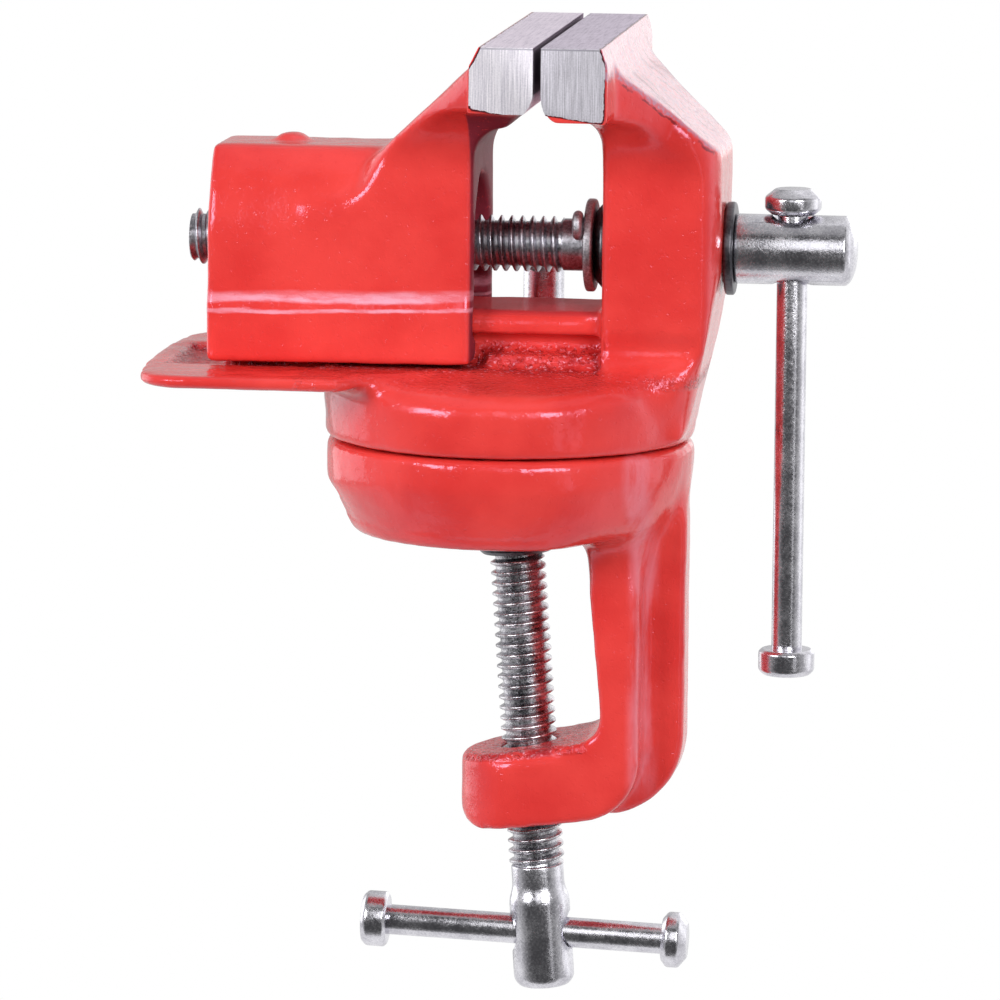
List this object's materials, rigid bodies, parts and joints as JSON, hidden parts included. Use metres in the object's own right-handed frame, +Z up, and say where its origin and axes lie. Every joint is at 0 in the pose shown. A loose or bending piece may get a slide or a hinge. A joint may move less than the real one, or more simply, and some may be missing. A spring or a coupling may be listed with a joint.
{
  "type": "mini bench vise",
  "caption": "Small red cast bench vise with a sliding jaw on a T rail, a swivel base with lock screw, and a screw clamp that holds it on a bench edge.",
  "frame": {"origin": "on the swivel axis, in the plane of the face that bears on the bench top", "axes": "+X along the jaw screw towards its handle, +Y to the back, +Z up along the swivel axis"},
  "size_m": [0.1006, 0.06, 0.1381],
  "materials": {
    "red_paint": "gloss enamel on cast metal, bare on the ground jaw tips",
    "plated_steel": "bright plating",
    "plain_steel": "bright steel",
    "dark_steel": "dark oiled steel"
  },
  "bodies": {
    "clamp": {"clamp_frame": "red_paint", "pivot_bolt": "dark_steel", "pivot_washer": "dark_steel"},
    "base": {"swivel_body": "red_paint"},
    "slide": {"moving_jaw": "red_paint"},
    "screw": {"main_screw": "plated_steel", "head_washer": "dark_steel", "thrust_washer": "plain_steel", "dished_washer": "dark_steel", "retaining_pin": "dark_steel"},
    "handle": {"main_bar": "plated_steel", "main_bar_upper_cap": "plated_steel", "main_bar_lower_cap": "plated_steel"},
    "pad": {"pressure_pad": "plain_steel"},
    "clamp_spindle": {"clamp_screw": "plain_steel"},
    "clamp_handle": {"clamp_bar": "plated_steel", "clamp_bar_left_cap": "plated_steel", "clamp_bar_right_cap": "plated_steel"},
    "lock": {"lock_screw": "plated_steel", "lock_bar": "plated_steel"}
  },
  "joints": [
    {"name": "swivel", "type": "hinge", "parent": "clamp", "child": "base", "pos_m": [0, 0, 0.0132], "axis": [0, 0, 1], "continuous": true},
    {"name": "jaw_slide", "type": "slide", "parent": "base", "child": "slide", "axis": [-1, 0, 0], "range_m": [-0.0009, 0.028]},
    {"name": "screw_turn", "type": "hinge", "parent": "base", "child": "screw", "pos_m": [0.03, 0, 0.0408], "axis": [1, 0, 0], "range_deg": [-222, 6725]},
    {"name": "handle_slide", "type": "slide", "parent": "screw", "child": "handle", "axis": [0, 0, 1], "range_m": [0, 0.052]},
    {"name": "pad_slide", "type": "slide", "parent": "clamp", "child": "pad", "axis": [0.0715, 0, -0.9974], "range_m": [0, 0.026]},
    {"name": "clamp_turn", "type": "hinge", "parent": "pad", "child": "clamp_spindle", "pos_m": [0.00095, 0, 0], "axis": [0.0715, 0, -0.9974], "range_deg": [-5, 6245]},
    {"name": "clamp_handle_slide", "type": "slide", "parent": "clamp_spindle", "child": "clamp_handle", "axis": [0.9993, 0, -0.0366], "range_m": [-0.0124, 0.0168]},
    {"name": "lock_turn", "type": "hinge", "parent": "base", "child": "lock", "pos_m": [0.0023, 0.0194, 0.03], "axis": [0, 0, 1], "range_deg": [0, 300]}
  ],
  "couplings": [
    {"joint": "screw_turn", "follows": "jaw_slide", "rad_per_m": 4188.8},
    {"joint": "clamp_turn", "follows": "pad_slide", "rad_per_m": 4188.8}
  ]
}
